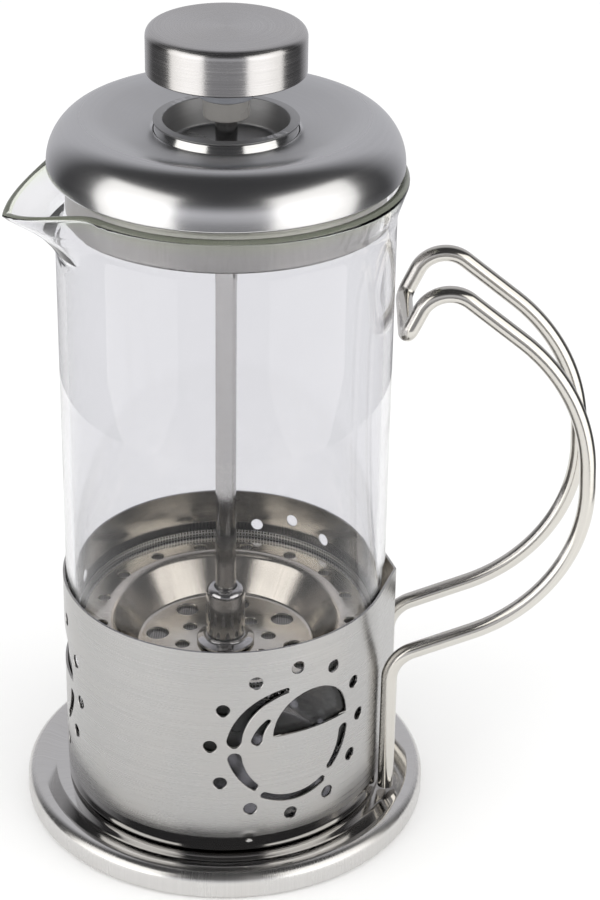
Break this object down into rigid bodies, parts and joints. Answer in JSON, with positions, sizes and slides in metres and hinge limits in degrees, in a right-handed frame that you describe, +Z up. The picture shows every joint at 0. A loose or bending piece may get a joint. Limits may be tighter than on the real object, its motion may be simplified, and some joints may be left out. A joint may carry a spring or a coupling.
{
  "type": "french press",
  "caption": "Small press-pot coffee maker: glass beaker in a pierced steel band on a round base, wire handle, domed lid and plunger with mesh filter.",
  "frame": {"origin": "on the main axis of the beaker and band, at table level, in the middle of the base's flat underside", "axes": "+Z up along the plunger rod, +X towards the handle, +Y completes a right-handed frame"},
  "size_m": [0.1231, 0.0896, 0.1796],
  "materials": {
    "base_steel": "mirror polished, fine vertical brushing on the bead",
    "band_steel": "brushed round the band, polished at its lower bend",
    "wire_steel": "drawn wire, lightly polished",
    "clear_glass": "clear borosilicate, greenish at the rim",
    "lid_steel": "satin polished",
    "well_steel": "polished",
    "skirt_steel": "satin",
    "guide_plastic": "moulded",
    "rod_steel": "polished",
    "knob_steel": "brushed round the side, satin on top",
    "knob_plastic": "moulded",
    "insert_brass": "turned",
    "hub_steel": "polished",
    "plate_steel": "pressed, polished",
    "mesh_steel": "fine woven wire"
  },
  "bodies": {
    "frame": {"base_plate": "base_steel", "frame_band": "band_steel", "handle_wire": "wire_steel"},
    "beaker": {"glass_beaker": "clear_glass"},
    "lid": {"lid_dome": "lid_steel", "lid_well": "well_steel", "lid_skirt": "skirt_steel", "rod_guide": "guide_plastic"},
    "plunger": {"plunger_rod": "rod_steel"},
    "knob": {"knob_cap": "knob_steel", "knob_core": "knob_plastic", "knob_insert": "insert_brass", "stem_sleeve": "knob_plastic"},
    "filter": {"filter_hub": "hub_steel", "hub_washer": "hub_steel", "filter_plate": "plate_steel", "mesh_screen": "mesh_steel", "rim_spring": "rod_steel", "bottom_plate": "plate_steel", "bottom_nut": "hub_steel"}
  },
  "joints": [
    {"name": "beaker_lift", "type": "slide", "parent": "frame", "child": "beaker", "axis": [0, 0, 1], "range_m": [0, 0.06]},
    {"name": "lid_lift", "type": "slide", "parent": "beaker", "child": "lid", "axis": [0, 0, 1], "range_m": [0, 0.12]},
    {"name": "plunger_slide", "type": "slide", "parent": "lid", "child": "plunger", "axis": [0, 0, 1], "range_m": [-0.0058, 0.086]},
    {"name": "knob_turn", "type": "hinge", "parent": "plunger", "child": "knob", "pos_m": [0, 0, 0.17], "axis": [0, 0, 1], "continuous": true},
    {"name": "filter_turn", "type": "hinge", "parent": "plunger", "child": "filter", "pos_m": [0, 0, 0.045], "axis": [0, 0, 1], "continuous": true}
  ]
}
